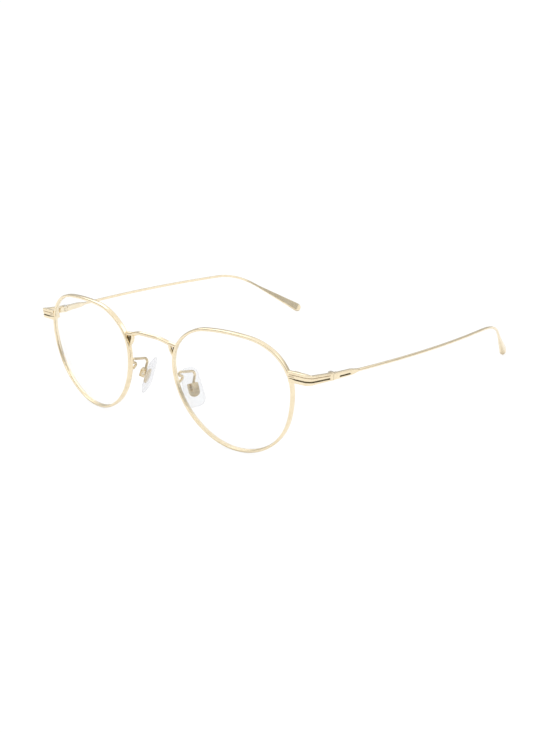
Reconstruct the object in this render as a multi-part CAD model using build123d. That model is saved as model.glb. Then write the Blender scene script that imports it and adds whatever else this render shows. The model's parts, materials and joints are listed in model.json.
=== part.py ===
from build123d import *
import math
import os

# Metal-frame eyeglasses, folded open. Every piece is shaped for the wearer's left in an upright front:
# x to the wearer's left, y to the back, z up, x = 0 the plane of symmetry and z = 0 the middle of the
# lens's box. The whole is then tilted until the rims and the temple tips rest on one level surface.

# ---- Lens and rim, millimetres and degrees ----
lens_centre_x = 35.5        # half the distance between the lens centres
wrap_angle = 6.8            # each lens turns back this much towards the temple
base_curve_radius = 128.0   # of the sphere through the middle of the rim
lens_start = (22.45, -7.10)   # first point of the outline, on the temple side below the middle
lens_start_normal = -18.0     # direction of its outward normal
lens_turns = (15, 60, 24, 15, 40, 45, 60, 101)    # turn of each arc of the outline
lens_radii = (37.0, 16.0, 20.0, 68.0, 19.0, 14.5)   # the last two close the outline
rim_width = 0.95            # seen from the front
rim_depth = 1.7             # from front to back
tongue_width = 0.6          # of the lens's edge in the rim's groove
tongue_inset = 0.05         # how far the tongue stays inside the middle of the rim
lens_front = 0.60           # lens faces, measured from the middle of the rim towards the wearer's front
lens_back = -0.95
lens_clearance = 0.02

# ---- Bridge ----
bridge_wire = 1.5
bridge_half = ((5.0, -0.72, 13.25), (9.0, 0.25, 11.75), (12.45, 0.20, 11.35))
bridge_radii = (11.0, 3.5)   # of the bends, from the middle outwards
bridge_foot = ((9.25, 0.20, 11.55), (9.45, 0.15, 9.8), (10.75, -0.10, 7.3))   # from the bridge down to the rim
bridge_foot_wire = 1.3
bridge_foot_radius = 2.5
bridge_web = ((10.9, 0.50, 10.9), (10.95, 0.30, 8.0))   # fills the gap between foot and rim, set back
bridge_web_wire = 1.0

# ---- Endpiece, from the rim to the hinge ----
endpiece_root = (58.4, 4.25)
endpiece_corner_y = 4.75    # where the tangents of the corner meet
endpiece_corner_radius = 2.6
endpiece_thickness = 1.4
endpiece_side = ((2.0, 10.75, 6.6), (4.5, 10.45, 6.6), (7.0, 9.6, 6.4), (17.5, 7.25, 4.85))  # y, top, foot
side_height = 3.1           # of the bar, for turning a groove's width into a share of its height
groove_width = 0.5
groove_depth = 0.35
groove_share = 0.42         # top of the groove, as a share of the bar's height
fine_groove_width = 0.22
fine_groove_depth = 0.12
fine_groove_share = 0.76
groove_end = 1.3            # both grooves stop this far before the hinge

# ---- Temple and hinge ----
hinge_face = (67.9, 16.1, 6.25)     # middle of the outer face where the temple meets the endpiece
temple_crest = (73.4, 63.7, -0.3)   # where the tangents of the temple's long gentle bow meet
ear_bend = (69.0, 119.6, -8.5)      # where the tangents of the bend behind the ear meet
temple_end = (56.15, 149.8, -32.75)
bow_radius = 350.0
ear_bend_radius = 38.0
temple_wire = 1.1
block_thickness = 1.4
block_profile = ((0.0, 1.18), (8.8, 1.02), (13.2, 0.52))   # distance from the hinge, half height
block_groove = (2.8, 8.6)   # where the groove starts and stops along the block
block_groove_height = -0.3
block_taper = 0.2           # how far each side of the block draws in where it meets the wire
wire_start = 11.0           # the wire begins inside the block, this far from the hinge
butt_gap = 0.10             # between the endpiece and the temple when open
hinge_axis_depth = 1.45     # of the hinge axis behind the outer face
knuckle_radius = 0.95
knuckle_heights = (0.84, 0.90)   # height of the temple's knuckle, gap between the front's two
hinge_half_height = 1.15
leaf_length = 3.0
leaf_thickness = 0.65
leaf_start = 1.15
leaf_height = 1.9
arm_sink = 0.05             # the leaf's arms stand this far off its back face
arm_overlap = 0.2
pocket_room = 0.08          # around the knuckles
hinge_screw_radius = 0.5
hinge_head_radius = 0.85
hinge_head_height = 0.4
slot_depth = 0.2            # of the slot in every screw's head
running_clearance = 0.03
tip_length = 29.0           # of the drop that the wire swells into
tip_width = 3.9
tip_thickness = 2.9
tip_neck = 0.8              # across the drop where it starts inside the wire
tip_round = 0.9             # its end stands this far past the wire's

# ---- Closing blocks behind the endpiece ----
split_height = 8.6
split_gap = 0.12
block_box = (58.9, 61.2, 5.2, 7.5)   # x from, x to, y from, y to
upper_block_top = 9.6
lower_block_foot = 6.85
closing_screw_radius = 0.45
closing_screw_drop = 0.3    # its end lies this far below the upper block's top
closing_head = (0.65, 0.4)  # radius, height
closing_axis = (60.15, 6.72)   # x, y of the upright screw

# ---- Nose pad and its arm ----
pad_centre = (11.0, 7.4, -6.9)
pad_down = (0.335, -0.143, -0.931)   # along the pad, from its top to its foot
pad_outward = (0.88, -0.37, 0.36)    # from the skin side to the arm side
pad_length = 14.4
pad_width = 8.4
pad_top_width = 6.4
pad_corner_radius = 2.9
pad_edge = 0.5
pad_thickness = 1.9
pad_core_size = (4.1, 5.0, 0.8)
pad_core_shift = 1.05       # the core plate's middle sits this far below the pad's
pad_core_top_radius = 0.6
pad_core_foot_radius = 1.9
pad_tab = (1.0, 1.5)        # thickness, length of the tab on the core plate
pad_eye_radius = 0.75
pad_axis_height = 2.15      # of the screw, above the pad's middle plane
pad_axis_rise = -0.1        # of the screw, above the pad's middle along the pad
pad_box_size = (2.3, 2.9)
pad_box_foot = -0.7         # measured from the screw, away from the arm side
pad_box_room = 0.85         # above the screw, for the tab's eye
pad_box_wall = 0.4
pad_box_end_wall = 0.6      # at the top end, where the arm joins
pad_tab_play = 0.1
pad_screw_radius = 0.4
pad_screw_head = (0.6, 0.35)   # radius, height
pad_arm_wire = 0.95
pad_arm_path = ((11.75, 0.70, -2.2), (11.85, 2.9, -1.0), (11.75, 0.75, 0.15), (11.85, 1.0, 1.35),
                (12.0, 8.7, -0.95), (12.2, 6.8, -5.0))
pad_arm_radii = (0.6, 0.6, 0.6, 1.7)   # two tight bends behind the rim, then the elbow

table_tilt = 4.2   # raises the tips until rims and tips touch one level surface


def unit(vector):
    return Vector(*vector).normalized()


def rounded_path(points, radii):
    """Straight runs through the points, each corner rounded by a tangent arc of its radius."""
    points = [Vector(*point) for point in points]
    start, edges = points[0], []
    for before, corner, after, radius in zip(points, points[1:], points[2:], radii):
        way_in, way_out = (corner - before).normalized(), (after - corner).normalized()
        half_turn = math.radians(way_in.get_angle(way_out) / 2)
        reach, rise = radius * math.tan(half_turn), radius / math.cos(half_turn) - radius
        leave, join = corner - way_in * reach, corner + way_out * reach
        middle = corner + (way_out - way_in).normalized() * rise
        edges += [Line(start, leave), ThreePointArc(leave, middle, join)]
        start = join
    return Wire([*edges, Line(start, points[-1])])


def wire_along(path, diameter):
    return sweep(Plane(path @ 0, z_dir=path % 0) * Circle(diameter / 2), path)


# ---------- lens outline ----------
def arc_chord(radius, start, turn):
    """From an arc's first point to its last, where its outward normal turns from start by turn."""
    first, last = math.radians(start), math.radians(start + turn)
    return Vector(math.cos(last) - math.cos(first), math.sin(last) - math.sin(first)) * radius


def closed_radii():
    """The outline's radii, with the last two worked out so that it meets its own start."""
    normal, end = lens_start_normal, Vector(0, 0)
    for radius, turn in zip(lens_radii, lens_turns):
        end += arc_chord(radius, normal, turn)
        normal += turn
    one = arc_chord(1, normal, lens_turns[-2])
    two = arc_chord(1, normal + lens_turns[-2], lens_turns[-1])
    span = one.X * two.Y - one.Y * two.X
    return lens_radii + ((two.X * end.Y - two.Y * end.X) / span, (one.Y * end.X - one.X * end.Y) / span)


def lens_outline(grow):
    """A face inside the outline, grown outwards by grow."""
    normal = lens_start_normal
    out = Vector(math.cos(math.radians(normal)), math.sin(math.radians(normal)))
    point = Vector(*lens_start) + out * grow
    arcs = []
    for radius, turn in zip(closed_radii(), lens_turns):
        middle = point + arc_chord(radius + grow, normal, turn / 2)
        end = point + arc_chord(radius + grow, normal, turn)
        arcs.append(ThreePointArc(point, middle, end))
        normal += turn
        point = end
    return make_face(arcs)


def lens_place():
    """The lens's own frame: x to the temple, y up, z to the front."""
    wrap = math.radians(wrap_angle)
    to_temple = (math.cos(wrap), math.sin(wrap), 0)
    to_front = (math.sin(wrap), -math.cos(wrap), 0)
    return Plane((lens_centre_x, 0, 0), to_temple, to_front)


def curved_band(front, back):
    """Between two spheres about one centre, front and back of the middle of the rim."""
    ball = Pos(0, 0, -base_curve_radius) * Rot(90, 0, 0)
    return ball * Sphere(base_curve_radius + front) - ball * Sphere(base_curve_radius + back)


def curved_plate(grow, front, back):
    return extrude(lens_outline(grow), 20, both=True) & curved_band(front, back)


# ---------- rim, lens ----------
def make_rim():
    half = rim_width / 2
    ring = extrude(lens_outline(half) - lens_outline(-half), 20, both=True)
    ring &= curved_band(rim_depth / 2, -rim_depth / 2)
    groove = curved_plate(-tongue_inset, tongue_width / 2, -tongue_width / 2)
    rim = lens_place() * (ring - groove)
    split = Pos(lens_centre_x + 25, 0, split_height) * Box(20, 40, split_gap)
    return rim - split


def make_lens():
    inner = -rim_width / 2 - lens_clearance
    half = tongue_width / 2 - lens_clearance
    plate = curved_plate(inner, lens_front, lens_back)
    tongue = curved_plate(-tongue_inset - lens_clearance, half, -half)
    return lens_place() * (plate + tongue)


# ---------- bridge ----------
def make_bridge(rims):
    """A wire bowed up and forward from rim to rim, with a foot under each end."""
    other_half = [(-x, y, z) for x, y, z in bridge_half[::-1]]
    radii = [*bridge_radii[::-1], *bridge_radii]
    wire = wire_along(rounded_path([*other_half, *bridge_half], radii), bridge_wire)
    foot = wire_along(rounded_path(bridge_foot, [bridge_foot_radius]), bridge_foot_wire)
    foot += wire_along(rounded_path(bridge_web, []), bridge_web_wire)
    wire = wire + foot + mirror(foot, about=Plane.YZ)
    for rim in rims:
        wire -= rim
    return largest(wire)


def largest(shape):
    return max(shape.solids(), key=lambda solid: solid.volume)


# ---------- temple's own frame ----------
def temple_place():
    """Origin in the middle of the outer face at the hinge: x outwards, y along the temple, z up."""
    along = unit(Vector(*temple_crest) - Vector(*hinge_face))
    up = (Vector(0, 0, 1) - along * along.Z).normalized()
    return Plane(hinge_face, along.cross(up), up)


# ---------- endpiece ----------
def endpiece_path():
    """Plan of the outer face, from the rim round the corner to the hinge."""
    along = Vector(*temple_crest[:2]) - Vector(*hinge_face[:2])
    reach = (hinge_face[1] - endpiece_corner_y) / along.Y
    corner = Vector(*hinge_face[:2]) - along * reach
    past = Vector(*hinge_face[:2]) + along.normalized() * 2
    return rounded_path([endpiece_root, corner, past], [endpiece_corner_radius])


def moved_inwards(path, shift):
    """The endpiece's path moved inwards by shift."""
    first, last = path % 0, path % 1
    start = path @ 0 + Vector(-first.Y, first.X) * shift
    end = path @ 1 + Vector(-last.Y, last.X) * shift
    ahead = end - start
    reach = (ahead.X * last.Y - ahead.Y * last.X) / (first.X * last.Y - first.Y * last.X)
    return rounded_path([start, start + first * reach, end], [endpiece_corner_radius - shift])


def plan_band(outer, inner):
    """An upright wall between two offsets of the endpiece's outer face, inwards positive."""
    path = endpiece_path()
    edges = [moved_inwards(path, shift) for shift in (outer, inner)]
    start = Line(edges[0] @ 0, edges[1] @ 0)
    end = Line(edges[0] @ 1, edges[1] @ 1)
    return extrude(make_face([*edges[0].edges(), *edges[1].edges(), start, end]), 40, both=True)


def side_strip(top_share, foot_share):
    """A wall across x that follows the bar's side view between two shares of its height."""
    tops = [(y, foot + (top - foot) * top_share) for y, top, foot in endpiece_side]
    feet = [(y, foot + (top - foot) * foot_share) for y, top, foot in endpiece_side]
    return extrude(Plane.YZ * make_face(Polyline(*tops, *feet[::-1], close=True)), 100)


def side_groove(top_share, width, depth):
    """What a groove takes out of the bar's outer face."""
    groove = plan_band(-1, depth) & side_strip(top_share, top_share - width / side_height)
    return groove - beyond_hinge(-groove_end)


def beyond_hinge(start):
    """All that lies further along the temple than start."""
    return temple_place() * Pos(0, 20 + start, 0) * Box(30, 40, 30)


def make_endpiece(rim):
    bar = plan_band(0, endpiece_thickness) & side_strip(1, 0)
    bar -= beyond_hinge(-butt_gap / 2)
    bar -= side_groove(groove_share, groove_width, groove_depth)
    bar -= side_groove(fine_groove_share, fine_groove_width, fine_groove_depth)
    inside_rim = lens_place() * extrude(lens_outline(0.2), 20, both=True)
    return largest(bar - rim - inside_rim - temple_place() * hinge_pocket())


# ---------- hinge ----------
def knuckle_ring(low, high):
    return Pos(-hinge_axis_depth, 0, (low + high) / 2) * Cylinder(knuckle_radius, high - low)


def hinge_leaf(side, slots):
    """A plate on the inner face, with an arm and a knuckle at each slot; side is -1 on the front."""
    inner = -block_thickness
    middle = inner - leaf_thickness / 2
    leaf = Pos(middle, side * (leaf_start + leaf_length) / 2, 0) * Box(
        leaf_thickness, leaf_length - leaf_start, leaf_height)
    reach = leaf_start + arm_overlap
    for low, high in slots:
        arm = Pos(middle - arm_sink, side * reach / 2, (low + high) / 2) * Box(
            leaf_thickness - 2 * arm_sink, reach, high - low)
        leaf = leaf + arm + knuckle_ring(low, high)
    bore = Pos(-hinge_axis_depth, 0, 0) * Cylinder(hinge_screw_radius + running_clearance, 20)
    return leaf - bore


def hinge_pocket():
    """The round hollow that the knuckles turn in."""
    return Pos(-hinge_axis_depth, 0, 0) * Cylinder(knuckle_radius + pocket_room, 20)


def make_hinge_screw():
    """A shank through all three knuckles and a slotted head on top."""
    shank = Cylinder(hinge_screw_radius, 2 * hinge_half_height)
    head_middle = hinge_half_height + hinge_head_height / 2
    head = Pos(0, 0, head_middle) * Cylinder(hinge_head_radius, hinge_head_height)
    slot = Pos(0, 0, hinge_half_height + hinge_head_height) * Box(3, 0.28, 2 * slot_depth)
    return temple_place() * Pos(-hinge_axis_depth, 0, 0) * (shank + head - slot)


# ---------- temple ----------
def make_temple():
    place = temple_place()
    rows = [(butt_gap / 2, block_profile[0][1]), *block_profile[1:]]
    side = Polyline(*[(y, z) for y, z in rows], *[(y, -z) for y, z in rows[::-1]], close=True)
    block = extrude(Plane.YZ * make_face(side), 10, both=True)
    end = rows[-1][0]
    inner = -block_thickness
    plan = Polyline((0, butt_gap / 2), (0, rows[1][0]), (-block_taper, end), (inner + block_taper, end),
                    (inner, rows[1][0]), (inner, butt_gap / 2), close=True)
    block = block & extrude(make_face(plan), 10, both=True)
    groove = Pos(0, sum(block_groove) / 2, block_groove_height) * Box(
        2 * groove_depth, block_groove[1] - block_groove[0], groove_width)
    block = place * (block - groove - hinge_pocket())
    start = place.from_local_coords(Vector(inner / 2, wire_start, 0))
    path = rounded_path([start, temple_crest, ear_bend, temple_end], [bow_radius, ear_bend_radius])
    return largest(block + wire_along(path, temple_wire) + make_tip())


def make_tip():
    """An oval drop that swells evenly from the wire to a blunt round end."""
    along = unit(Vector(*temple_end) - Vector(*ear_bend))
    flat = (Vector(1, 0, 0) - along * along.X).normalized()
    half = tip_width / 2
    side = [
        Line((-tip_length, 0), (-tip_length, tip_neck / 2)),
        Line((-tip_length, tip_neck / 2), (-half, half)),
        ThreePointArc((-half, half), (-half * 0.2, half * 0.92), (tip_round, 0)),
        Line((tip_round, 0), (-tip_length, 0)),
    ]
    drop = revolve(make_face(side), Axis.X)
    return Plane(temple_end, along, flat) * scale(drop, (1, 1, tip_thickness / tip_width))


# ---------- closing blocks ----------
def make_closing_blocks(rim, endpiece):
    x_from, x_to, y_from, y_to = block_box
    centre = ((x_from + x_to) / 2, (y_from + y_to) / 2)
    blocks = []
    bore = Pos(*closing_axis, 0) * Cylinder(closing_screw_radius + running_clearance, 40)
    upper = (split_height + split_gap / 2, upper_block_top)
    lower = (lower_block_foot, split_height - split_gap / 2)
    for low, high in (upper, lower):
        block = Pos(*centre, (low + high) / 2) * Box(x_to - x_from, y_to - y_from, high - low)
        blocks.append(largest(block - rim - endpiece - bore))
    return blocks


def make_closing_screw():
    top = upper_block_top - closing_screw_drop
    radius, height = closing_head
    length = top - lower_block_foot
    shank = Pos(0, 0, top - length / 2) * Cylinder(closing_screw_radius, length)
    head = Pos(0, 0, lower_block_foot - height / 2) * Cylinder(radius, height)
    slot = Pos(0, 0, lower_block_foot - height) * Box(3, 0.22, 2 * slot_depth)
    return Pos(*closing_axis, 0) * (shank + head - slot)


# ---------- nose pad ----------
def pad_place():
    """Origin in the pad's middle: x across, y up the pad, z to the arm."""
    up = unit(pad_down) * -1
    out = unit(pad_outward)
    out = (out - up * out.dot(up)).normalized()
    return Plane(pad_centre, up.cross(out), out)


def pad_screw_place():
    return pad_place() * Pos(0, pad_axis_rise, pad_axis_height)


def make_pad(core):
    half_length = pad_length / 2
    outline = make_face(Polyline(
        (-pad_top_width / 2, half_length), (pad_top_width / 2, half_length),
        (pad_width / 2, -half_length), (-pad_width / 2, -half_length), close=True))
    outline = fillet(outline.vertices(), pad_corner_radius)
    pad = extrude(outline, pad_thickness / 2, both=True)
    rims = [edge for edge in pad.edges() if abs(edge.center().Z) > pad_thickness / 2 - 0.01]
    pad = chamfer(rims, pad_edge)
    return largest(pad_place() * pad - core)


def make_pad_core():
    width, length, thickness = pad_core_size
    foot = pad_thickness / 2 - thickness
    plate = Pos(0, -pad_core_shift, foot + thickness / 2) * Box(width, length, thickness)
    uprights = plate.edges().filter_by(Axis.Z).sort_by(Axis.Y)
    plate = fillet(uprights[:2], pad_core_foot_radius)
    uprights = plate.edges().filter_by(Axis.Z).sort_by(Axis.Y)
    plate = fillet(uprights[-2:], pad_core_top_radius)
    base = foot + thickness / 2
    tab_thickness, tab_length = pad_tab
    tab = Pos(0, pad_axis_rise, (base + pad_axis_height) / 2) * Box(
        tab_thickness, tab_length, pad_axis_height - base)
    on_axis = Pos(0, pad_axis_rise, pad_axis_height) * Rot(0, 90, 0)
    eye = on_axis * Cylinder(pad_eye_radius, tab_thickness)
    bore = on_axis * Cylinder(pad_screw_radius + running_clearance, 20)
    return pad_place() * (plate + tab + eye - bore)


def make_pad_box():
    """A channel open towards the pad and downwards, whose cheeks carry the screw."""
    width, length = pad_box_size
    foot, top = pad_box_foot, pad_box_room + pad_box_wall
    block = Pos(0, 0, (foot + top) / 2) * Box(width, length, top - foot)
    slot = Pos(0, length / 2 - pad_box_end_wall - 5, (foot + pad_box_room) / 2) * Box(
        pad_tab[0] + pad_tab_play, 10, pad_box_room - foot)
    bore = Rot(0, 90, 0) * Cylinder(pad_screw_radius + running_clearance, 20)
    return pad_screw_place() * (block - slot - bore)


def make_pad_screw():
    half = pad_box_size[0] / 2
    radius, height = pad_screw_head
    shank = Rot(0, 90, 0) * Cylinder(pad_screw_radius, 2 * half)
    head = Pos(half + height / 2, 0, 0) * Rot(0, 90, 0) * Cylinder(radius, height)
    slot = Pos(half + height, 0, 0) * Box(2 * slot_depth, 2, 0.2)
    return pad_screw_place() * (shank + head - slot)


def make_pad_arm(rim, box):
    lens_room = lens_place() * curved_plate(0.1 - rim_width / 2, lens_front, lens_back - 0.1)
    arm = wire_along(rounded_path(pad_arm_path, pad_arm_radii), pad_arm_wire)
    return largest(arm - rim - box - lens_room)


# ---------- the whole ----------
def left_parts():
    rim = make_rim()
    endpiece = make_endpiece(rim)
    upper_block, lower_block = make_closing_blocks(rim, endpiece)
    core = make_pad_core()
    box = make_pad_box()
    place = temple_place()
    knuckle, gap = knuckle_heights
    front_slots = ((-hinge_half_height, -gap / 2), (gap / 2, hinge_half_height))
    return {
        "rim": rim,
        "lens": make_lens(),
        "endpiece": endpiece,
        "closing_block_upper": upper_block,
        "closing_block_lower": lower_block,
        "closing_screw": make_closing_screw(),
        "hinge_front": place * hinge_leaf(-1, front_slots),
        "hinge_temple": place * hinge_leaf(1, ((-knuckle / 2, knuckle / 2),)),
        "hinge_screw": make_hinge_screw(),
        "temple": make_temple(),
        "pad_arm": make_pad_arm(rim, box),
        "pad_box": box,
        "pad_screw": make_pad_screw(),
        "pad_core": core,
        "nose_pad": make_pad(core),
    }


def main():
    left = left_parts()
    right = {name: mirror(shape, about=Plane.YZ) for name, shape in left.items()}
    whole = {f"{name}_left": shape for name, shape in left.items()}
    whole.update({f"{name}_right": shape for name, shape in right.items()})
    whole["bridge"] = make_bridge([left["rim"], right["rim"]])
    tilted = {name: Rot(table_tilt, 0, 0) * shape for name, shape in whole.items()}
    box = Compound(children=[largest(shape) for shape in tilted.values()]).bounding_box()
    rest = Pos(0, -(box.min.Y + box.max.Y) / 2, -box.min.Z)
    os.makedirs("parts", exist_ok=True)
    for name, shape in tilted.items():
        export_step(rest * shape, f"parts/{name}.step")


main()
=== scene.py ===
import json
import math

import bmesh
import bpy
import numpy as np
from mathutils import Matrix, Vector


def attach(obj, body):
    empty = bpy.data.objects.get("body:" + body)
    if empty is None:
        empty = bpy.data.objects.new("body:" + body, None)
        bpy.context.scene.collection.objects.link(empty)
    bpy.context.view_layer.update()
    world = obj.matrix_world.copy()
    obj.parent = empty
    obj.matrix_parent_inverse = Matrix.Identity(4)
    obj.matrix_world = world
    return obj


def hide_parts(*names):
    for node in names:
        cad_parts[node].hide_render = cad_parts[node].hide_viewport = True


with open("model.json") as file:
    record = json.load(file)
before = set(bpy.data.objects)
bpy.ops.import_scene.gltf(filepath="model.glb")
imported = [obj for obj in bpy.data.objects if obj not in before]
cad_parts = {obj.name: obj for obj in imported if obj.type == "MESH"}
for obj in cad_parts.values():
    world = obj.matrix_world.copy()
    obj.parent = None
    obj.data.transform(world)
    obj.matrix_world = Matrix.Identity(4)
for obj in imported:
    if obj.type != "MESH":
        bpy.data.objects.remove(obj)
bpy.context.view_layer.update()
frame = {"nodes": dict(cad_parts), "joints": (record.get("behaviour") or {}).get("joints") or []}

# Metal-frame eyeglasses. Shapes are given in millimetres for the wearer's left in an upright front:
# x to the wearer's left, y to the back, z up. in_row() tilts them onto the table, in metres.
MM = 0.001
TABLE_TILT = 4.2
SIDES = {"left": 1, "right": -1}

LENS_CENTRE_X = 35.5
WRAP_ANGLE = 6.8
BASE_CURVE = 128.0
LENS_START = (22.45, -7.10)
LENS_START_NORMAL = -18.0
LENS_TURNS = (15, 60, 24, 15, 40, 45, 60, 101)
LENS_RADII = (37.0, 16.0, 20.0, 68.0, 19.0, 14.5)
RIM_WIDTH = 0.95
RIM_DEPTH = 1.7
RIM_GROOVE_HALF = 0.42
RIM_GROOVE_DEPTH = 0.375
SPLIT_HEIGHT = 8.6
SPLIT_GAP = 0.12
LENS_INSET = 0.03
LENS_FRONT = 0.60
LENS_BACK = -0.95
LENS_RING_SHARES = (0.03, 0.2, 0.4, 0.6, 0.8, 0.94, 0.995)
LENS_EDGE = ((-0.53, 0.57), (-0.505, 0.42), (-0.14, 0.03), (-0.14, -0.03), (-0.505, -0.42), (-0.53, -0.92))

BRIDGE_HALF = ((5.0, -0.72, 13.25), (9.0, 0.25, 11.75), (12.45, 0.20, 11.35))
BRIDGE_RADII = (11.0, 3.5)
BRIDGE_WIRE = 1.5
BRIDGE_FOOT = ((9.25, 0.20, 11.55), (9.45, 0.15, 9.8), (10.75, -0.10, 7.3))
BRIDGE_FOOT_WIRE = 1.3
BRIDGE_FOOT_RADIUS = 2.5
BRIDGE_FOOT_TAPER = 1.8
# A dark wire between each bridge foot and the rim: painted shade of the gap there.
BRIDGE_GAP_SHADE = ((10.9, 0.50, 10.9), (10.95, 0.30, 8.0))
BRIDGE_GAP_SHADE_WIRE = 1.0

ENDPIECE_ROOT = (58.4, 4.25)
ENDPIECE_CORNER_Y = 4.75
ENDPIECE_CORNER_RADIUS = 2.6
ENDPIECE_THICKNESS = 1.4
ENDPIECE_SIDE = ((2.0, 10.75, 6.6), (4.5, 10.45, 6.6), (7.0, 9.6, 6.4), (17.5, 7.25, 4.85))
EDGE_RADIUS = 0.28
EDGE_MOST = 0.45
# Engraved lines of the endpiece: upper edge as a share of the bar's height, then width and depth.
FINE_LINE = (0.76, 0.26, 0.14)
SHORT_LINE = (0.59, 0.2, 0.12)
BOLD_LINE = (0.42, 0.5, 0.35)

HINGE_FACE = np.array((67.9, 16.1, 6.25))
TEMPLE_CREST = np.array((73.4, 63.7, -0.3))
EAR_BEND = np.array((69.0, 119.6, -8.5))
TEMPLE_END = np.array((56.15, 149.8, -32.75))
BOW_RADIUS = 350.0
EAR_BEND_RADIUS = 38.0
TEMPLE_WIRE = 1.1
BLOCK_THICKNESS = 1.4
BLOCK_PROFILE = ((0.0, 1.18), (8.8, 1.02), (13.2, 0.52))
BLOCK_TAPER = 0.2
BLOCK_GROOVE = (2.8, 8.6)
BLOCK_GROOVE_TOP = -0.05
BLOCK_GROOVE_FOOT = -0.55
BLOCK_GROOVE_DEPTH = 0.35
BLOCK_GROOVE_FADE = 0.35
WIRE_START = 11.0
HINGE_AXIS_DEPTH = 1.45
POCKET_RADIUS = 1.03
BUTT_GAP = 0.10
TIP_LENGTH = 29.0
TIP_WIDTH = 3.9
TIP_THICKNESS = 2.9
TIP_NECK = 0.8
TIP_ROUND = 0.9
TIP_POWER = 2.6
CREST_RADIUS = 60.0

PAD_CENTRE = np.array((11.0, 7.4, -6.9))
PAD_DOWN = np.array((0.335, -0.143, -0.931))
PAD_OUTWARD = np.array((0.88, -0.37, 0.36))
PAD_LENGTH = 14.4
PAD_WIDTH = 8.4
PAD_TOP_WIDTH = 6.4
PAD_CORNER_RADIUS = 2.9
PAD_THICKNESS = 1.9
# Rings of the pad: share of the outline, and depth under the front face.
PAD_PROFILE = ((0.04, 0.12), (0.25, 0.10), (0.45, 0.06), (0.62, 0.05), (0.72, 0.16), (0.82, 0.42),
               (0.90, 0.62), (0.96, 0.80), (0.99, 0.98), (1.0, 1.15), (0.985, 1.33), (0.95, 1.48),
               (0.88, 1.62), (0.75, 1.75), (0.55, 1.85), (0.3, 1.89), (0.04, PAD_THICKNESS))
PAD_ARM_PATH = ((11.75, 0.70, -2.2), (11.85, 2.9, -1.0), (11.75, 0.75, 0.15), (11.85, 1.0, 1.35),
                (12.0, 8.7, -0.95), (12.2, 6.8, -5.0))
PAD_ARM_RADII = (0.6, 0.6, 0.6, 1.7)
PAD_ARM_WIRE = 0.95

# The second place is a dark fill in the bold grooves; the third is painted shade in the fine engraved
# lines.
GOLD_FACE, DARK_FILL_FACE, SHADED_LINE_FACE = 0, 1, 2     # places in a grooved piece's material list

FLOOR_HALF = 30.0
CAMERA_PLACE = (0.27201, -0.33078, 0.15055)
CAMERA_TURN = (71.0744, 0.9330, 39.8639)
CAMERA_LENS = 54.335


def unit(vector):
    return np.asarray(vector, float) / np.linalg.norm(vector)


ALONG = unit(TEMPLE_CREST - HINGE_FACE)
UP = unit(np.array((0, 0, 1)) - ALONG * ALONG[2])
OUT = np.cross(ALONG, UP)

tilt = math.radians(TABLE_TILT)
TURN = np.array(((1, 0, 0), (0, math.cos(tilt), -math.sin(tilt)), (0, math.sin(tilt), math.cos(tilt))))
fold = next(joint for joint in frame["joints"] if joint["name"] == "temple_left_fold")
SHIFT = np.array(fold["pos_m"]) - TURN @ (HINGE_FACE - OUT * HINGE_AXIS_DEPTH) * MM


def in_row(points):
    return np.asarray(points, float) @ TURN.T * MM + SHIFT


def smooth(value):
    value = np.clip(value, 0, 1)
    return value * value * (3 - 2 * value)


# ---------- paths and sections ----------
def rounded_path(points, radii, degrees=3.0):
    """Straight runs through the points, with each corner an arc of its radius."""
    points = [np.asarray(point, float) for point in points]
    path = [points[0]]
    for before, corner, after, radius in zip(points, points[1:], points[2:], radii):
        way_in, way_out = unit(corner - before), unit(after - corner)
        turn = math.acos(np.clip(way_in @ way_out, -1, 1))
        leave = corner - way_in * radius * math.tan(turn / 2)
        inward = unit(way_out - way_in * (way_in @ way_out))
        count = max(3, math.ceil(math.degrees(turn) / degrees))
        for angle in np.linspace(0, turn, count + 1):
            path.append(leave + way_in * radius * math.sin(angle) + inward * radius * (1 - math.cos(angle)))
    path.append(points[-1])
    return np.array(path)


def lengths(path):
    return np.concatenate(([0], np.cumsum(np.linalg.norm(np.diff(path, axis=0), axis=1))))


def at_lengths(path, wanted):
    along = lengths(path)
    return np.stack([np.interp(wanted, along, path[:, k]) for k in range(path.shape[1])], axis=1)


def resample(path, step):
    total = lengths(path)[-1]
    return at_lengths(path, np.linspace(0, total, max(2, math.ceil(total / step)) + 1))


def rounded_outline(points, radii, steps=4):
    """A closed outline whose corners are arcs."""
    points = np.asarray(points, float)
    outline = []
    for index, radius in enumerate(radii):
        corner = points[index]
        back = unit(points[index - 1] - corner)
        ahead = unit(points[(index + 1) % len(points)] - corner)
        half = math.acos(np.clip(back @ ahead, -1, 1)) / 2
        centre = corner + unit(back + ahead) * radius / math.sin(half)
        first = corner + back * radius / math.tan(half) - centre
        last = corner + ahead * radius / math.tan(half) - centre
        sweep = math.pi - 2 * half
        for share in np.linspace(0, 1, steps + 1):
            outline.append(centre + (first * math.sin((1 - share) * sweep) + last * math.sin(share * sweep))
                           / math.sin(sweep))
    return np.array(outline)


def tangents(path):
    ways = np.gradient(path, axis=0)
    return ways / np.linalg.norm(ways, axis=1)[:, None]


def cross_axes(path, hint):
    """Two axes across the path at each point, the first as near to hint as it can be."""
    ways = tangents(path)
    hint = np.broadcast_to(np.asarray(hint, float), path.shape)
    first = hint - ways * np.sum(hint * ways, axis=1)[:, None]
    first /= np.linalg.norm(first, axis=1)[:, None]
    return first, np.cross(first, ways)


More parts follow.
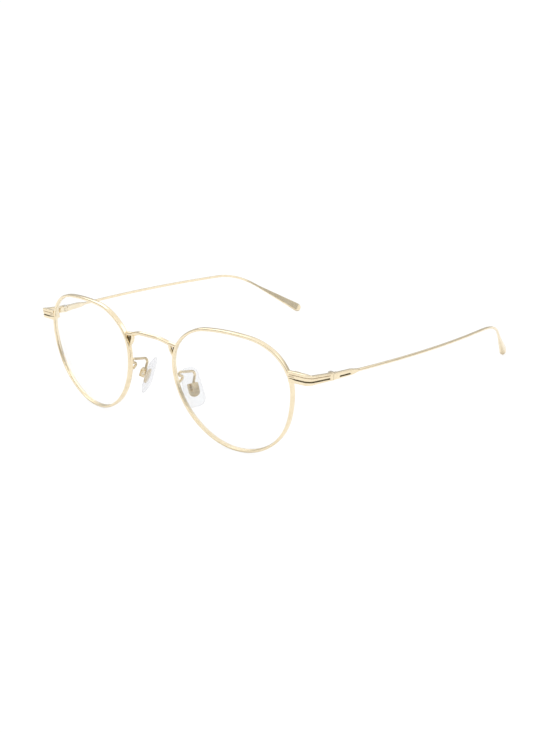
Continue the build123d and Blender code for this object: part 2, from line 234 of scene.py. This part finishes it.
def tube(path, radius, hint, sides=20, ends=(True, True)):
    """Rings of a round wire, with domed ends where ends says so."""
    radius = np.broadcast_to(np.asarray(radius, float), len(path))
    first, second = cross_axes(path, hint)
    ways = tangents(path)
    angles = np.linspace(0, 2 * math.pi, sides, endpoint=False)
    rings = [centre + (one * np.cos(angles)[:, None] + two * np.sin(angles)[:, None]) * size
             for centre, one, two, size in zip(path, first, second, radius)]
    dome = np.radians((30, 55, 75))
    for at_end, sign in ((0, -1), (-1, 1)):
        if not ends[at_end]:
            continue
        ring, centre, size = rings[at_end], path[at_end], radius[at_end]
        caps = [centre + (ring - centre) * math.cos(a) + sign * ways[at_end] * size * math.sin(a) * 0.7
                for a in dome]
        rings = rings + caps if sign > 0 else caps[::-1] + rings
    return np.array(rings)


# ---------- meshes ----------
def add_to_scene(name, data):
    item = bpy.data.objects.new(name, data)
    bpy.context.scene.collection.objects.link(item)
    return item


def add_object(name, points, faces, materials, body, marks=None, angle=32):
    mesh = bpy.data.meshes.new(name)
    mesh.from_pydata([tuple(point) for point in points], [], faces)
    for item in materials:
        mesh.materials.append(item)
    if marks is not None:
        mesh.polygons.foreach_set("material_index", np.asarray(marks, dtype=np.int32))
    mesh.shade_smooth()
    mesh.set_sharp_from_angle(angle=math.radians(angle))
    mesh.validate()
    piece = add_to_scene(name, mesh)
    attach(piece, body)
    return piece


def ring_faces(count, around):
    """Quads between rings, and a face at each end."""
    faces = []
    for here in range(0, (count - 1) * around, around):
        there = here + around
        faces += [(here + k, here + (k + 1) % around, there + (k + 1) % around, there + k)
                  for k in range(around)]
    faces.append(tuple(range(around))[::-1])
    faces.append(tuple((count - 1) * around + k for k in range(around)))
    return faces


def outward(points, faces):
    """The faces, all turned over if they enclose a negative volume."""
    volume = 0.0
    for face in faces:
        first = points[face[0]]
        for k in range(1, len(face) - 1):
            volume += first @ np.cross(points[face[k]], points[face[k + 1]])
    return faces if volume > 0 else [face[::-1] for face in faces]


def place_piece(name, rings, materials, body, replaced, side, marks=None, angle=32):
    """One mesh from its rings, on its side, in place of its CAD nodes."""
    rings = np.asarray(rings, float)
    points = rings.reshape(-1, 3) * (side, 1, 1)
    faces = outward(points, ring_faces(len(rings), rings.shape[1]))
    piece = add_object(name, in_row(points), faces, materials, body, marks, angle)
    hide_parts(*replaced)
    return piece


# ---------- materials ----------
def new_material(name):
    item = bpy.data.materials.new(name)
    item.use_nodes = True
    shader = item.node_tree.nodes["Principled BSDF"]
    return item, item.node_tree, shader


def noise(tree, scale, detail=2.0, stretch=(1, 1, 1)):
    coordinates = tree.nodes.new("ShaderNodeTexCoord")
    mapping = tree.nodes.new("ShaderNodeMapping")
    mapping.inputs["Scale"].default_value = stretch
    texture = tree.nodes.new("ShaderNodeTexNoise")
    texture.inputs["Scale"].default_value = scale
    texture.inputs["Detail"].default_value = detail
    tree.links.new(coordinates.outputs["Object"], mapping.inputs["Vector"])
    tree.links.new(mapping.outputs["Vector"], texture.inputs["Vector"])
    return texture.outputs["Fac"]


def ramp(tree, source, stops):
    """Colours over a 0 to 1 source, as (place, colour) stops."""
    node = tree.nodes.new("ShaderNodeValToRGB")
    elements = node.color_ramp.elements
    while len(elements) < len(stops):
        elements.new(0.5)
    for element, (place, colour) in zip(elements, stops):
        element.position = place
        element.color = (*colour, 1.0)
    tree.links.new(source, node.inputs["Fac"])
    return node.outputs["Color"]


def to_range(tree, source, low, high, from_low=0.3, from_high=0.7):
    node = tree.nodes.new("ShaderNodeMapRange")
    node.inputs["From Min"].default_value = from_low
    node.inputs["From Max"].default_value = from_high
    node.inputs["To Min"].default_value = low
    node.inputs["To Max"].default_value = high
    tree.links.new(source, node.inputs["Value"])
    return node.outputs["Result"]


def grey(value):
    return (value, value, value)


def mix_shaders(tree, factor, first, second, output="Material Output"):
    """Sends a mix of two shaders to the output."""
    node = tree.nodes.new("ShaderNodeMixShader")
    tree.links.new(factor, node.inputs["Fac"])
    tree.links.new(first, node.inputs[1])
    tree.links.new(second, node.inputs[2])
    tree.links.new(node.outputs["Shader"], tree.nodes[output].inputs["Surface"])


def make_clear(tree, shader, colour, blend, low, high):
    """Lets light straight through, with more of the shader's own surface at a low angle."""
    clear = tree.nodes.new("ShaderNodeBsdfTransparent")
    clear.inputs["Color"].default_value = (*colour, 1.0)
    angle = tree.nodes.new("ShaderNodeLayerWeight")
    angle.inputs["Blend"].default_value = blend
    share = to_range(tree, angle.outputs["Facing"], low, high, 0.0, 1.0)
    mix_shaders(tree, share, clear.outputs["BSDF"], shader.outputs["BSDF"])


def add_bump(tree, shader, source, strength, distance_mm):
    node = tree.nodes.new("ShaderNodeBump")
    node.inputs["Strength"].default_value = strength
    node.inputs["Distance"].default_value = distance_mm * MM
    tree.links.new(source, node.inputs["Height"])
    tree.links.new(node.outputs["Normal"], shader.inputs["Normal"])


def metal(name, light, dark, rough, scratch=0.12, grain=5200.0):
    """Plated metal: its colour drifts a little, its gloss is uneven and it has fine wiping marks."""
    item, tree, shader = new_material(name)
    shader.inputs["Metallic"].default_value = 1.0
    drift = noise(tree, 420.0, 3.0)
    tree.links.new(ramp(tree, drift, ((0.32, dark), (0.62, light))), shader.inputs["Base Color"])
    gloss = noise(tree, 1500.0, 4.0)
    tree.links.new(to_range(tree, gloss, rough[0], rough[1]), shader.inputs["Roughness"])
    marks = noise(tree, grain, 2.0, (1.0, 0.12, 1.0))
    add_bump(tree, shader, marks, scratch, 0.01)
    return item


gold = metal("champagne_gold", (0.93, 0.81, 0.59), (0.87, 0.74, 0.52), (0.10, 0.20))
# Darker metal laid in the fine engraved lines: painted shade in those grooves.
line_shade_metal = metal("line_painted_shade", (0.56, 0.45, 0.30), (0.46, 0.36, 0.23), (0.30, 0.42), 0.2)
pad_metal = metal("pad_gold", (0.78, 0.66, 0.46), (0.66, 0.55, 0.37), (0.14, 0.26), 0.2)
steel = metal("screw_steel", (0.80, 0.75, 0.66), (0.66, 0.62, 0.54), (0.20, 0.32), 0.25, 7000.0)


# A dark brown fill for the bold grooves, also used as painted shade of the gap between each bridge foot and
# the rim.
def make_dark_fill_and_shade():
    item, tree, shader = new_material("groove_fill_and_gap_shade")
    tone = noise(tree, 900.0, 3.0)
    tree.links.new(ramp(tree, tone, ((0.35, (0.13, 0.098, 0.044)), (0.65, (0.19, 0.150, 0.080)))),
                   shader.inputs["Base Color"])
    tree.links.new(to_range(tree, noise(tree, 2600.0, 3.0), 0.45, 0.7), shader.inputs["Roughness"])
    shader.inputs["Specular IOR Level"].default_value = 0.25
    add_bump(tree, shader, noise(tree, 6000.0), 0.3, 0.01)
    return item


def make_lens_material():
    """Clear coated plastic, with a faint mirror that grows at a low angle."""
    item, tree, shader = new_material("clear_lens")
    film = noise(tree, 60.0, 2.0)
    tint = ramp(tree, film, ((0.3, (0.88, 0.93, 0.95)), (0.7, (0.95, 0.94, 0.98))))
    tree.links.new(tint, shader.inputs["Base Color"])
    tree.links.new(to_range(tree, noise(tree, 180.0, 4.0), 0.02, 0.06), shader.inputs["Roughness"])
    shader.inputs["Metallic"].default_value = 1.0
    make_clear(tree, shader, (0.996, 0.998, 0.997), 0.12, 0.02, 0.35)
    return item


def make_silicone():
    """Clear soft silicone: faintly grey straight through, milkier where it is seen edge-on."""
    item, tree, shader = new_material("clear_silicone")
    tint = noise(tree, 260.0, 3.0)
    tree.links.new(ramp(tree, tint, ((0.3, (0.72, 0.72, 0.76)), (0.7, (0.80, 0.80, 0.83)))),
                   shader.inputs["Base Color"])
    tree.links.new(to_range(tree, noise(tree, 900.0, 4.0), 0.12, 0.26), shader.inputs["Roughness"])
    add_bump(tree, shader, noise(tree, 700.0, 3.0), 0.15, 0.05)
    make_clear(tree, shader, (0.976, 0.978, 0.984), 0.35, 0.07, 0.5)
    return item


dark_fill_and_shade = make_dark_fill_and_shade()
lens_material = make_lens_material()
silicone = make_silicone()


# ---------- lens outline ----------
def arc_chord(radius, start, turn):
    first, last = math.radians(start), math.radians(start + turn)
    return np.array((math.cos(last) - math.cos(first), math.sin(last) - math.sin(first))) * radius


def closed_radii():
    """The outline's radii, with the last two worked out so that it meets its own start."""
    normal, end = LENS_START_NORMAL, np.zeros(2)
    for radius, turn in zip(LENS_RADII, LENS_TURNS):
        end += arc_chord(radius, normal, turn)
        normal += turn
    one = arc_chord(1, normal, LENS_TURNS[-2])
    two = arc_chord(1, normal + LENS_TURNS[-2], LENS_TURNS[-1])
    span = one[0] * two[1] - one[1] * two[0]
    last_but_one = (two[0] * end[1] - two[1] * end[0]) / span
    last = (one[1] * end[0] - one[0] * end[1]) / span
    return (*LENS_RADII, last_but_one, last)


def lens_outline(step):
    """Points of the closed outline and their outward normals."""
    normal, point, points, normals = LENS_START_NORMAL, np.array(LENS_START), [], []
    for radius, turn in zip(closed_radii(), LENS_TURNS):
        count = math.ceil(radius * math.radians(turn) / step)
        for share in np.arange(count) / count:
            angle = math.radians(normal + turn * share)
            points.append(point + arc_chord(radius, normal, turn * share))
            normals.append((math.cos(angle), math.sin(angle)))
        point = point + arc_chord(radius, normal, turn)
        normal += turn
    return np.array(points), np.array(normals)


def on_lens(flat, rise):
    """Points of the lens's own plane, lifted to a sphere rise in front of the middle of the rim."""
    flat = np.asarray(flat, float)
    wrap = math.radians(WRAP_ANGLE)
    height = np.sqrt((BASE_CURVE + rise) ** 2 - np.sum(flat ** 2, axis=-1)) - BASE_CURVE
    across = np.array((math.cos(wrap), math.sin(wrap), 0))
    front = np.array((math.sin(wrap), -math.cos(wrap), 0))
    return (np.array((LENS_CENTRE_X, 0, 0)) + flat[..., :1] * across + flat[..., 1:] * (0, 0, 1)
            + height[..., None] * front)


def rim_rings():
    """A grooved band round the lens, cut through where the closing blocks hold it."""
    points, normals = lens_outline(0.4)
    crossing = next(k for k in range(len(points))
                    if points[k][0] > 0 and points[k - 1][1] <= SPLIT_HEIGHT < points[k][1])
    points, normals = np.roll(points, -crossing, axis=0), np.roll(normals, -crossing, axis=0)
    for at_end, level in ((0, SPLIT_HEIGHT + SPLIT_GAP / 2), (-1, SPLIT_HEIGHT - SPLIT_GAP / 2)):
        points[at_end] += (0, level - points[at_end][1])
    half, deep = RIM_WIDTH / 2, RIM_DEPTH / 2
    band = ((-half, -deep), (half, -deep), (half, deep), (-half, deep))
    groove = ((-half, RIM_GROOVE_HALF), (RIM_GROOVE_DEPTH - half, 0.0), (-half, -RIM_GROOVE_HALF))
    section = rounded_outline((*band, *groove), (0.20, 0.34, 0.34, 0.20, 0.05, 0.05, 0.05))
    return np.stack([on_lens(point + normal * section[:, :1], section[:, 1])
                     for point, normal in zip(points, normals)])


def lens_rings():
    """Front face from its middle outwards, the bevelled edge that sits in the rim, and the back face."""
    points, normals = lens_outline(0.8)
    face = points - normals * (RIM_WIDTH / 2 + LENS_INSET)
    count = len(points)
    rings = [on_lens(face * share, np.full(count, LENS_FRONT)) for share in LENS_RING_SHARES]
    rings += [on_lens(points + normals * grow, np.full(count, rise)) for grow, rise in LENS_EDGE]
    rings += [on_lens(face * share, np.full(count, LENS_BACK)) for share in LENS_RING_SHARES[::-1]]
    return np.array(rings)


# ---------- bridge ----------
def bridge_rings():
    other_half = [(-x, y, z) for x, y, z in BRIDGE_HALF[::-1]]
    path = rounded_path([*other_half, *BRIDGE_HALF], [*BRIDGE_RADII[::-1], *BRIDGE_RADII])
    return tube(resample(path, 0.3), BRIDGE_WIRE / 2, (0, 1, 0), 28, (False, False))


def foot_rings():
    """The foot under one end of the bridge, thinning to a tip where it is soldered along the rim."""
    path = resample(rounded_path(BRIDGE_FOOT, [BRIDGE_FOOT_RADIUS]), 0.2)
    from_end = lengths(path)[-1] - lengths(path)
    radius = BRIDGE_FOOT_WIRE / 2 * (0.62 + 0.38 * smooth(from_end / BRIDGE_FOOT_TAPER))
    return tube(path, radius, (0, 1, 0), 24)


def gap_shade_rings():
    """A dark wire between a foot and the rim: painted shade of the gap there."""
    return tube(resample(np.array(BRIDGE_GAP_SHADE), 0.3), BRIDGE_GAP_SHADE_WIRE / 2, (0, 1, 0), 20)


# ---------- endpiece ----------
def groove_points(top, foot, depth):
    """The outline of one groove, from its upper edge down to its lower one, in (depth, height)."""
    soft = min(0.05, (top - foot) * 0.25)
    return [(0.0, top + soft * 0.6), (depth * 0.25, top),
            (depth * 0.85, top - soft), (depth, top - soft * 2),
            (depth, foot + soft * 2), (depth * 0.85, foot + soft),
            (depth * 0.25, foot), (0.0, foot - soft * 0.6)]


def corner_arc(centre, radius, start, steps=4):
    angles = np.radians(np.linspace(start, start + 90, steps + 1))
    return [(centre[0] + radius * math.cos(a), centre[1] + radius * math.sin(a)) for a in angles]


def endpiece_rings():
    """A bar bent round the corner, with engraved lines; also where groove_marks colours them: a dark fill
    in the bold line, painted shade in the fine and short ones.
    """
    slope = (TEMPLE_CREST - HINGE_FACE)[:2]
    corner = HINGE_FACE[:2] - slope * (HINGE_FACE[1] - ENDPIECE_CORNER_Y) / slope[1]
    path = rounded_path([ENDPIECE_ROOT, corner, HINGE_FACE[:2]], [ENDPIECE_CORNER_RADIUS])
    plan_along = ALONG[:2] / np.linalg.norm(ALONG[:2])
    total = lengths(path)[-1] - BUTT_GAP / 2 / np.linalg.norm(ALONG[:2])
    stations = np.concatenate((np.arange(0, total - 1.6, 0.25), np.linspace(total - 1.6, total, 26)))
    points = at_lengths(path, stations)
    ways = tangents(points)
    ways[-20:] = plan_along
    rings, cuts = [], []
    table = np.array(ENDPIECE_SIDE)
    lean = -ALONG[2] / ALONG[1]
    for station, point, way in zip(stations, points, ways):
        inward = np.array((-way[1], way[0]))
        top = np.interp(point[1], table[:, 0], table[:, 1])
        foot = np.interp(point[1], table[:, 0], table[:, 2])
        tall = top - foot
        to_end = total - station
        stop = smooth((to_end - 1.25) / 0.3)
        bold = stop * (0.6 + 0.4 * smooth((station - 1.0) / 2.0))
        fine = stop * smooth((station - 0.2) / 0.5)
        short = smooth((station - 0.1) / 0.3) * smooth((2.7 - station) / 0.8)
        widen = 0.45 + 0.55 * smooth((station - 1.2) / 2.2)
        outer = []
        for (share, width, depth), wide, fade in (
                (FINE_LINE, 1, fine), (SHORT_LINE, 1, short), (BOLD_LINE, widen, bold)):
            line_top = foot + tall * share
            outer += groove_points(line_top, line_top - width * wide, depth * fade)
        thick = ENDPIECE_THICKNESS
        if to_end < POCKET_RADIUS:
            thick = min(thick, HINGE_AXIS_DEPTH - math.sqrt(POCKET_RADIUS ** 2 - to_end ** 2))
        edge = min(EDGE_RADIUS, thick * EDGE_MOST)
        section = [*corner_arc((edge, top - edge), edge, 90), *outer,
                   *corner_arc((edge, foot + edge), edge, 180),
                   *corner_arc((thick - edge, foot + edge), edge, 270),
                   *corner_arc((thick - edge, top - edge), edge, 0)]
        shear = lean * smooth((station - total + 5.0) / 4.0)
        rings.append([(*(point + inward * depth + plan_along * (height - HINGE_FACE[2]) * shear), height)
                      for depth, height in section])
        cuts.append((fine > 0.5, short > 0.3, bold > 0.4))
    return np.array(rings), cuts, ((5, 11, SHADED_LINE_FACE), (13, 19, SHADED_LINE_FACE), (21, 27, DARK_FILL_FACE))


# ---------- temple ----------
def temple_rings():
    """A grooved block at the hinge that thins into a round wire and swells into a drop, in one run."""
    origin = HINGE_FACE - OUT * BLOCK_THICKNESS / 2
    path = rounded_path([origin + ALONG * BUTT_GAP / 2, origin + ALONG * WIRE_START, TEMPLE_CREST, EAR_BEND,
                         TEMPLE_END], [CREST_RADIUS, BOW_RADIUS, EAR_BEND_RADIUS], 0.5)
    total = lengths(path)[-1]
    half_width, ratio = TIP_WIDTH / 2, TIP_THICKNESS / TIP_WIDTH
    cap = np.radians(np.arange(0, 89, 8))
    stations = np.concatenate((
        np.linspace(0, 1.1, 18), np.arange(1.3, 15.2, 0.2), np.arange(15.4, total - TIP_LENGTH, 1.0),
        np.arange(total - TIP_LENGTH, total - half_width, 0.5),
        total - half_width + (half_width + TIP_ROUND) * np.sin(cap)))
    points = at_lengths(path, np.minimum(stations, total))
    points += np.maximum(stations - total, 0)[:, None] * unit(TEMPLE_END - EAR_BEND)
    ways = tangents(points)
    ways[:20] = ALONG
    half_heights = np.array(BLOCK_PROFILE)
    block_end = half_heights[-1, 0]
    mid = BLOCK_THICKNESS / 2

    def block_section(station):
        tall = np.interp(station, half_heights[:, 0], half_heights[:, 1])
        fade_in = smooth((station - BLOCK_GROOVE[0]) / BLOCK_GROOVE_FADE)
        fade_out = smooth((BLOCK_GROOVE[1] - station) / BLOCK_GROOVE_FADE)
        depth = BLOCK_GROOVE_DEPTH * fade_in * fade_out
        narrow = BLOCK_TAPER * smooth((station - half_heights[1, 0]) / (block_end - half_heights[1, 0]))
        outer, inner = mid - narrow, -mid + narrow
        if station < POCKET_RADIUS:
            inner = max(inner, mid - HINGE_AXIS_DEPTH + math.sqrt(POCKET_RADIUS ** 2 - station ** 2))
        edge = min(EDGE_RADIUS, (outer - inner) * EDGE_MOST)
        groove = [(outer - dent, height)
                  for dent, height in groove_points(BLOCK_GROOVE_TOP, BLOCK_GROOVE_FOOT, depth)]
        return np.array([*corner_arc((outer - edge, tall - edge), edge, 0)[::-1], *groove,
                         *corner_arc((outer - edge, -tall + edge), edge, 270)[::-1],
                         *corner_arc((inner + edge, -tall + edge), edge, 180)[::-1],
                         *corner_arc((inner + edge, tall - edge), edge, 90)[::-1]]), depth > 0.2

    reference = block_section(half_heights[1, 0])[0]
    angles = np.arctan2(reference[:, 1], reference[:, 0])
    circle = np.stack((np.cos(angles), np.sin(angles)), axis=1)
    rings, cuts = [], []
    for station, point, way in zip(stations, points, ways):
        section, dark = block_section(min(station, block_end))
        round_share = smooth((station - half_heights[1, 0] - 1.2) / (block_end - half_heights[1, 0]))
        from_neck = (station - total + TIP_LENGTH) / (TIP_LENGTH - half_width)
        drop = TIP_NECK / 2 + (half_width - TIP_NECK / 2) * from_neck
        width = max(TEMPLE_WIRE / 2, drop)
        thick = max(TEMPLE_WIRE / 2, drop * ratio)
        if station > total - half_width:
            share = (station - total + half_width) / (half_width + TIP_ROUND)
            width = half_width * math.sqrt(1 - share ** TIP_POWER)
            thick = width * ratio
        flat = section * (1 - round_share) + circle * (thick, width) * round_share
        turned = smooth((station - block_end) / 30)
        hint = OUT * (1 - turned) + np.array((1, 0, 0)) * turned
        out = unit(hint - way * (hint @ way))
        rings.append(point + flat[:, :1] * out + flat[:, 1:] * np.cross(out, way))
        cuts.append((dark,))
    return np.array(rings), cuts, ((5, 12, DARK_FILL_FACE),)


def groove_marks(around, cuts, spans):
    """Material numbers of ring_faces' faces: each groove's own number between its first and last point."""
    marks = []
    for here, there in zip(cuts, cuts[1:]):
        ring = [GOLD_FACE] * around
        for cut, after, (first, last, number) in zip(here, there, spans):
            if cut and after:
                ring[first + 1:last] = [number] * (last - first - 1)
        marks += ring
    return marks + [GOLD_FACE, GOLD_FACE]


# ---------- nose pad and its arm ----------
PAD_UP = -unit(PAD_DOWN)
PAD_OUT = unit(PAD_OUTWARD - PAD_UP * (PAD_OUTWARD @ PAD_UP))
PAD_ACROSS = np.cross(PAD_UP, PAD_OUT)


def on_pad(points):
    points = np.asarray(points, float)
    return PAD_CENTRE + points[..., :1] * PAD_ACROSS + points[..., 1:2] * PAD_UP + points[..., 2:] * PAD_OUT


def pad_rings():
    """A crowned drop of silicone, thickest in the middle, with a soft rounded edge."""
    half = PAD_LENGTH / 2
    corners = ((-PAD_TOP_WIDTH / 2, half), (PAD_TOP_WIDTH / 2, half),
               (PAD_WIDTH / 2, -half), (-PAD_WIDTH / 2, -half))
    outline = rounded_outline(corners, [PAD_CORNER_RADIUS] * 4, 10)
    outline = resample(np.vstack((outline, outline[:1])), 0.5)[:-1]
    return np.stack([
        on_pad(np.column_stack((outline * share, np.full(len(outline), PAD_THICKNESS / 2 - sunk))))
        for share, sunk in PAD_PROFILE])


def pad_arm_rings():
    path = resample(rounded_path(PAD_ARM_PATH, PAD_ARM_RADII, 4.0), 0.12)
    return tube(path, PAD_ARM_WIRE / 2, (1, 0, 0), 20)


# ---------- small parts ----------
def softened(node, name, item, body, width_mm):
    """The node's own solid with its flat faces made whole and its edges rounded over."""
    source = frame["nodes"][node]
    work = bmesh.new()
    work.from_mesh(source.data)
    bmesh.ops.remove_doubles(work, verts=work.verts, dist=1e-6)
    bmesh.ops.dissolve_limit(work, angle_limit=math.radians(1.0), verts=work.verts, edges=work.edges)
    sharp = [edge for edge in work.edges
             if len(edge.link_faces) == 2 and edge.calc_face_angle() > math.radians(35)]
    bmesh.ops.bevel(work, geom=sharp, offset=width_mm * MM, segments=2, profile=0.6, affect="EDGES",
                    clamp_overlap=True)
    bmesh.ops.triangulate(work, faces=[face for face in work.faces if len(face.verts) > 4])
    mesh = bpy.data.meshes.new(name)
    work.to_mesh(mesh)
    work.free()
    mesh.materials.clear()
    mesh.materials.append(item)
    mesh.shade_smooth()
    mesh.set_sharp_from_angle(angle=math.radians(40))
    piece = add_to_scene(name, mesh)
    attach(piece, body)
    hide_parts(node)
    return piece


SMALL_PARTS = (
    ("closing_block_upper", gold, "front", "frame_gold", 0.12),
    ("closing_block_lower", gold, "front", "frame_gold", 0.12),
    ("closing_screw", steel, "front", "screws", 0.05),
    ("hinge_front", gold, "front", "frame_gold", 0.07),
    ("hinge_temple", gold, "temple_{}", "frame_gold", 0.07),
    ("hinge_screw", steel, "front", "screws", 0.06),
    ("pad_box", pad_metal, "front", "pad_metal", 0.07),
    ("pad_screw", steel, "front", "screws", 0.05),
    ("pad_core", pad_metal, "pad_{}", "pad_metal", 0.07),
)

place_piece("bridge_wire", bridge_rings(), [gold], "front", ["bridge"], 1)
rim, lens, pad, arm = rim_rings(), lens_rings(), pad_rings(), pad_arm_rings()
foot, gap_shade_wire = foot_rings(), gap_shade_rings()
endpiece, endpiece_cuts, endpiece_spans = endpiece_rings()
temple, temple_cuts, temple_spans = temple_rings()
for hand, side in SIDES.items():
    place_piece(f"bridge_foot_{hand}", foot, [gold], "front", ["bridge"], side)
    # Painted shade: a dark wire where the gap between the bridge foot and the rim lies in shadow.
    place_piece(f"bridge_gap_shade_{hand}", gap_shade_wire, [dark_fill_and_shade], "front", ["bridge"], side)
    place_piece(f"rim_band_{hand}", rim, [gold], "front", [f"rim_{hand}"], side)
    place_piece(f"lens_glass_{hand}", lens, [lens_material], "front", [f"lens_{hand}"], side)
    place_piece(f"endpiece_bar_{hand}", endpiece, [gold, dark_fill_and_shade, line_shade_metal], "front",
                [f"endpiece_{hand}"], side, groove_marks(endpiece.shape[1], endpiece_cuts, endpiece_spans))
    place_piece(f"temple_arm_{hand}", temple, [gold, dark_fill_and_shade], f"temple_{hand}",
                [f"temple_{hand}"], side, groove_marks(temple.shape[1], temple_cuts, temple_spans))
    place_piece(f"pad_soft_{hand}", pad, [silicone], f"pad_{hand}",
                [f"nose_pad_{hand}"], side, angle=60)
    place_piece(f"pad_arm_wire_{hand}", arm, [pad_metal], "front", [f"pad_arm_{hand}"], side)
    for stem, item, body, slot, width in SMALL_PARTS:
        softened(f"{stem}_{hand}", f"{stem}_piece_{hand}", item, body.format(hand), width)


# ---------- floor, light and camera ----------
def make_floor():
    """A table that looks white to the camera and is lit as a pale matt one for everything else."""
    item, tree, shader = new_material("pale_floor")
    grain = noise(tree, 40.0, 3.0)
    tree.links.new(ramp(tree, grain, ((0.3, grey(0.94)), (0.7, grey(0.96)))),
                   shader.inputs["Base Color"])
    shader.inputs["Roughness"].default_value = 0.9
    shader.inputs["Specular IOR Level"].default_value = 0.1
    glow = tree.nodes.new("ShaderNodeEmission")
    glow.inputs["Strength"].default_value = 1.06
    path = tree.nodes.new("ShaderNodeLightPath")
    share = to_range(tree, path.outputs["Is Camera Ray"], 0.0, 0.82, 0.0, 1.0)
    mix_shaders(tree, share, shader.outputs["BSDF"], glow.outputs["Emission"])
    corners = [(x * FLOOR_HALF, y * FLOOR_HALF, 0) for x, y in ((-1, -1), (1, -1), (1, 1), (-1, 1))]
    mesh = bpy.data.meshes.new("floor")
    mesh.from_pydata(corners, [], [(0, 1, 2, 3)])
    mesh.materials.append(item)
    floor = add_to_scene("floor", mesh)


def make_world():
    """Bright all round and brightest overhead, with a greyer band low down for the metal to mirror."""
    world = bpy.data.worlds.new("studio")
    world.use_nodes = True
    tree = world.node_tree
    background = tree.nodes["Background"]
    coordinates = tree.nodes.new("ShaderNodeTexCoord")
    split = tree.nodes.new("ShaderNodeSeparateXYZ")
    tree.links.new(coordinates.outputs["Generated"], split.inputs["Vector"])
    height = to_range(tree, split.outputs["Z"], 0.0, 1.0, -0.1, 1.0)
    bands = ((0.0, grey(0.60)), (0.12, grey(0.50)), (0.42, grey(0.58)), (0.62, grey(1.0)), (1.0, grey(1.0)))
    tree.links.new(ramp(tree, height, bands), background.inputs["Color"])
    background.inputs["Strength"].default_value = 1.04
    seen = tree.nodes.new("ShaderNodeBackground")
    seen.inputs["Color"].default_value = (*grey(1.0), 1.0)
    path = tree.nodes.new("ShaderNodeLightPath")
    mix_shaders(tree, path.outputs["Is Camera Ray"], background.outputs["Background"],
                seen.outputs["Background"], "World Output")
    bpy.context.scene.world = world


def add_softbox(name, place, size, power):
    data = bpy.data.lights.new(name, "AREA")
    data.shape = "RECTANGLE"
    data.size, data.size_y = size
    data.energy = power
    lamp = add_to_scene(name, data)
    lamp.location = place
    lamp.rotation_euler = (-Vector(place)).to_track_quat("-Z", "Y").to_euler()


make_floor()
make_world()
add_softbox("key_light", (-0.55, 0.15, 0.75), (0.6, 0.6), 1.4)
add_softbox("fill_light", (0.65, 0.35, 0.55), (0.4, 0.7), 0.7)
add_softbox("front_light", (-0.1, -0.8, 0.6), (0.7, 0.3), 0.5)

camera_data = bpy.data.cameras.new("camera")
camera_data.lens = CAMERA_LENS
camera_data.clip_start = 0.01
camera = add_to_scene("camera", camera_data)
camera.location = CAMERA_PLACE
camera.rotation_euler = [math.radians(angle) for angle in CAMERA_TURN]
bpy.context.scene.camera = camera
bpy.context.scene.view_settings.view_transform = "Standard"
